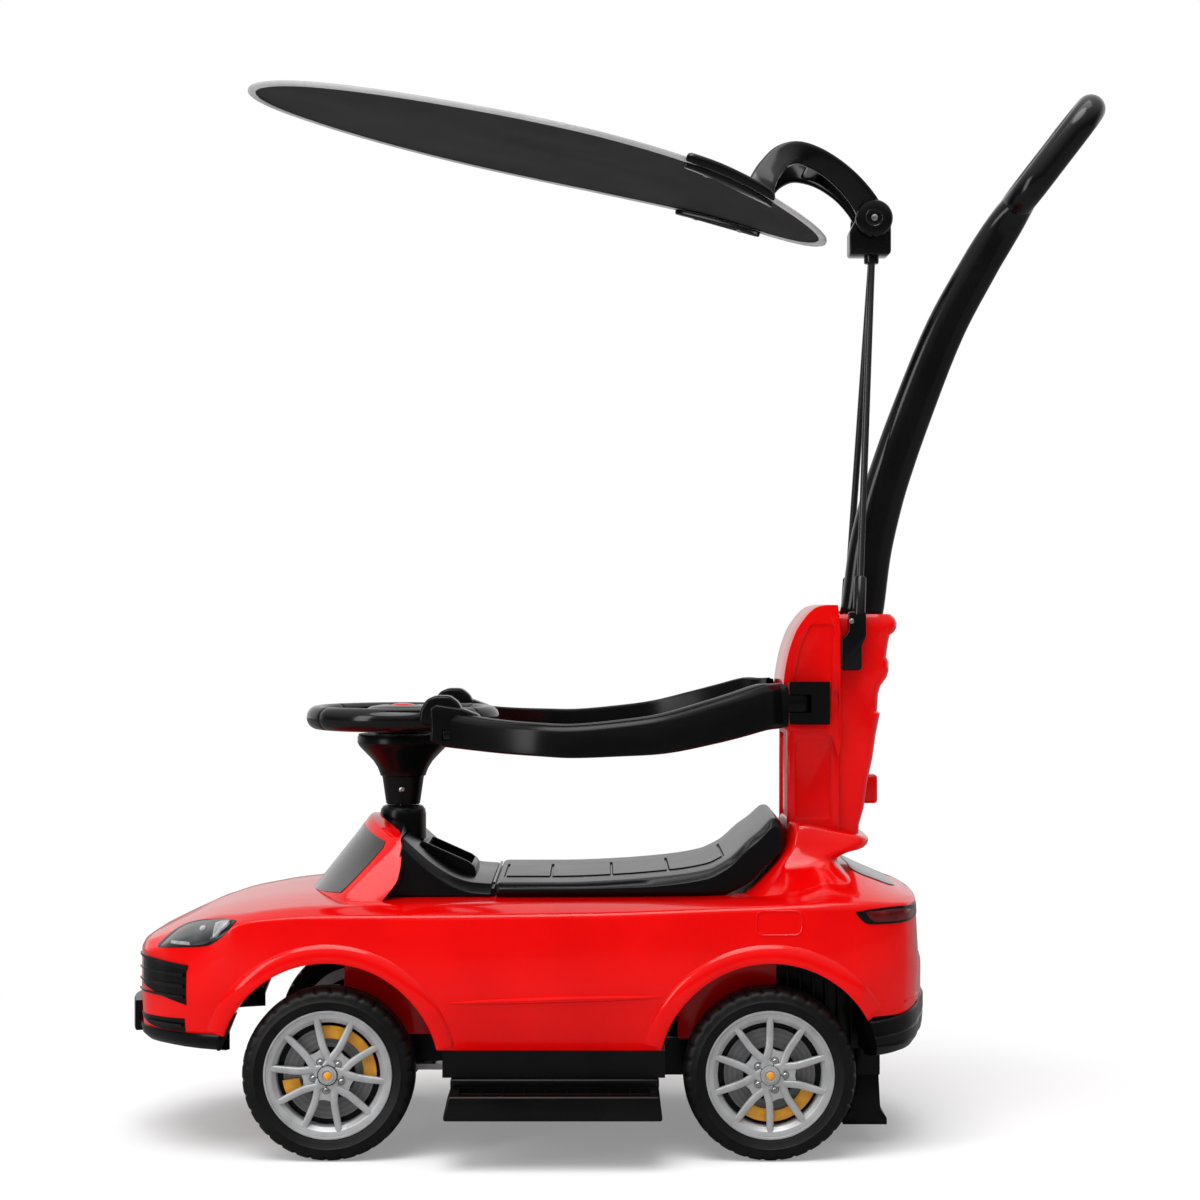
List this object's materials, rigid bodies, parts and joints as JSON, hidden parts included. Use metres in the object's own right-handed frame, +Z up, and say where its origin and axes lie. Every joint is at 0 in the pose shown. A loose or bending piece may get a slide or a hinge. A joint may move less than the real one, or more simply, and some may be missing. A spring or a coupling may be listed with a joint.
{
  "type": "push car with handle",
  "caption": "Toddler ride-on push car with steering, spoked wheels, swinging guard arms, tilting sun canopy, retractable footrests and a lift-out rear push handle.",
  "frame": {"origin": "on the floor under the middle of the whole object", "axes": "+Z up, the front of the car points to -X, its left side to -Y"},
  "size_m": [1.0161, 0.48, 1.0834],
  "materials": {
    "red_gloss": "bright red injection-moulded plastic with a glossy face",
    "lamp_clear": "dark smoked lamp cover",
    "lamp_red": "dark red lamp cover",
    "dark_glazing": "near-black glossy glazing panel",
    "black_plastic": "satin black moulded plastic",
    "black_gloss": "smooth semi-gloss black plastic",
    "steel": "plain bright steel",
    "black_metal": "black painted steel rod",
    "binding": "light grey edge binding",
    "canopy_cloth": "dark grey woven sun canopy cloth",
    "tyre_black": "black moulded plastic tyre with tread blocks",
    "rim_silver": "silver painted plastic spokes",
    "disc_grey": "grey brake disc insert"
  },
  "bodies": {
    "car": {"body_shell": "red_gloss", "headlights": "lamp_clear", "tail_lights": "lamp_red", "front_grille": "black_plastic", "rear_window": "dark_glazing", "windscreen": "dark_glazing", "front_lip": "black_plastic", "front_plate": "black_plastic", "rear_bumper": "black_plastic", "chassis_pan": "black_plastic", "storage_bin": "black_plastic", "rear_axle": "steel", "axle_push_nuts": "steel", "anti_tip_foot": "black_plastic", "column_sleeve": "black_plastic", "dash_console": "black_plastic", "seat_hinge_pin": "steel", "backrest_front": "red_gloss", "backrest_rear": "red_gloss", "guard_brackets": "black_plastic", "canopy_sockets": "black_plastic", "canopy_rods": "black_metal", "canopy_hinge_block": "black_plastic", "canopy_pivot_bolt": "steel", "footrest_guides": "black_plastic"},
    "steering": {"steering_shaft": "steel", "steering_boss": "black_gloss", "steering_wheel": "black_gloss"},
    "horn": {"horn_button": "red_gloss"},
    "tie_rod": {"tie_rod": "black_plastic"},
    "knuckle_left": {"knuckle_left": "steel"},
    "knuckle_right": {"knuckle_right": "steel"},
    "wheel_front_left": {"tyre_front_left": "tyre_black", "rim_front_left": "rim_silver", "brake_disc_front_left": "disc_grey"},
    "wheel_front_right": {"tyre_front_right": "tyre_black", "rim_front_right": "rim_silver", "brake_disc_front_right": "disc_grey"},
    "wheel_rear_left": {"tyre_rear_left": "tyre_black", "rim_rear_left": "rim_silver", "brake_disc_rear_left": "disc_grey"},
    "wheel_rear_right": {"tyre_rear_right": "tyre_black", "rim_rear_right": "rim_silver", "brake_disc_rear_right": "disc_grey"},
    "seat": {"seat": "black_plastic"},
    "guard_left": {"guard_arm_left": "black_gloss"},
    "latch_left": {"guard_button_left": "black_plastic"},
    "guard_right": {"guard_arm_right": "black_gloss"},
    "latch_right": {"guard_button_right": "black_plastic"},
    "handle": {"push_handle": "black_gloss"},
    "handle_button": {"handle_button": "red_gloss"},
    "canopy": {"canopy_yoke": "black_plastic", "canopy_knobs": "black_plastic", "canopy_clamps": "black_plastic", "canopy_ring": "binding", "canopy_fabric": "canopy_cloth"},
    "footrest_left": {"footrest_left": "black_plastic"},
    "footrest_right": {"footrest_right": "black_plastic"}
  },
  "joints": [
    {"name": "steering_turn", "type": "hinge", "parent": "car", "child": "steering", "pos_m": [-0.2265, 0, 0.3], "axis": [0, 0, 1], "range_deg": [-24, 24]},
    {"name": "horn_press", "type": "slide", "parent": "steering", "child": "horn", "axis": [0, 0, -1], "range_m": [0, 0.002], "stiffness_N_per_m": 300, "springref_m": -0.001},
    {"name": "tie_rod_shift", "type": "slide", "parent": "car", "child": "tie_rod", "axis": [0, 1, 0], "range_m": [-0.0128, 0.0128]},
    {"name": "knuckle_left_turn", "type": "hinge", "parent": "car", "child": "knuckle_left", "pos_m": [-0.2874, -0.115, 0.1], "axis": [0, 0, 1], "range_deg": [-24.2, 24.2]},
    {"name": "knuckle_right_turn", "type": "hinge", "parent": "car", "child": "knuckle_right", "pos_m": [-0.2874, 0.115, 0.1], "axis": [0, 0, 1], "range_deg": [-24.2, 24.2]},
    {"name": "wheel_front_left_roll", "type": "hinge", "parent": "knuckle_left", "child": "wheel_front_left", "pos_m": [-0.2874, -0.1645, 0.085], "axis": [0, 1, 0], "continuous": true},
    {"name": "wheel_front_right_roll", "type": "hinge", "parent": "knuckle_right", "child": "wheel_front_right", "pos_m": [-0.2874, 0.1645, 0.085], "axis": [0, 1, 0], "continuous": true},
    {"name": "wheel_rear_left_roll", "type": "hinge", "parent": "car", "child": "wheel_rear_left", "pos_m": [0.1471, -0.1645, 0.085], "axis": [0, 1, 0], "continuous": true},
    {"name": "wheel_rear_right_roll", "type": "hinge", "parent": "car", "child": "wheel_rear_right", "pos_m": [0.1471, 0.1645, 0.085], "axis": [0, 1, 0], "continuous": true},
    {"name": "seat_lift", "type": "hinge", "parent": "car", "child": "seat", "pos_m": [-0.127, 0, 0.266], "axis": [0, -1, 0], "range_deg": [0, 70]},
    {"name": "guard_left_swing", "type": "hinge", "parent": "car", "child": "guard_left", "pos_m": [0.183, -0.1, 0.447], "axis": [0, 0, 1], "range_deg": [0, 90]},
    {"name": "guard_right_swing", "type": "hinge", "parent": "car", "child": "guard_right", "pos_m": [0.183, 0.1, 0.447], "axis": [0, 0, -1], "range_deg": [0, 90]},
    {"name": "latch_left_press", "type": "slide", "parent": "guard_left", "child": "latch_left", "axis": [0, 1, 0], "range_m": [0, 0.003], "stiffness_N_per_m": 300},
    {"name": "latch_right_press", "type": "slide", "parent": "guard_right", "child": "latch_right", "axis": [0, -1, 0], "range_m": [0, 0.003], "stiffness_N_per_m": 300},
    {"name": "handle_lift", "type": "slide", "parent": "car", "child": "handle", "axis": [0.1822, 0, 0.9833], "range_m": [0, 0.21]},
    {"name": "handle_button_press", "type": "slide", "parent": "car", "child": "handle_button", "axis": [-1, 0, 0], "range_m": [0, 0.005], "stiffness_N_per_m": 400},
    {"name": "canopy_tilt", "type": "hinge", "parent": "car", "child": "canopy", "pos_m": [0.2647, 0, 0.948], "axis": [0, 1, 0], "range_deg": [-20, 40]},
    {"name": "footrest_left_push", "type": "slide", "parent": "car", "child": "footrest_left", "axis": [0, 1, 0], "range_m": [0, 0.055]},
    {"name": "footrest_right_push", "type": "slide", "parent": "car", "child": "footrest_right", "axis": [0, -1, 0], "range_m": [0, 0.055]}
  ],
  "couplings": [
    {"joint": "knuckle_left_turn", "follows": "steering_turn", "ratio": 1},
    {"joint": "knuckle_right_turn", "follows": "steering_turn", "ratio": 1},
    {"joint": "tie_rod_shift", "follows": "steering_turn", "m_per_rad": 0.03}
  ]
}
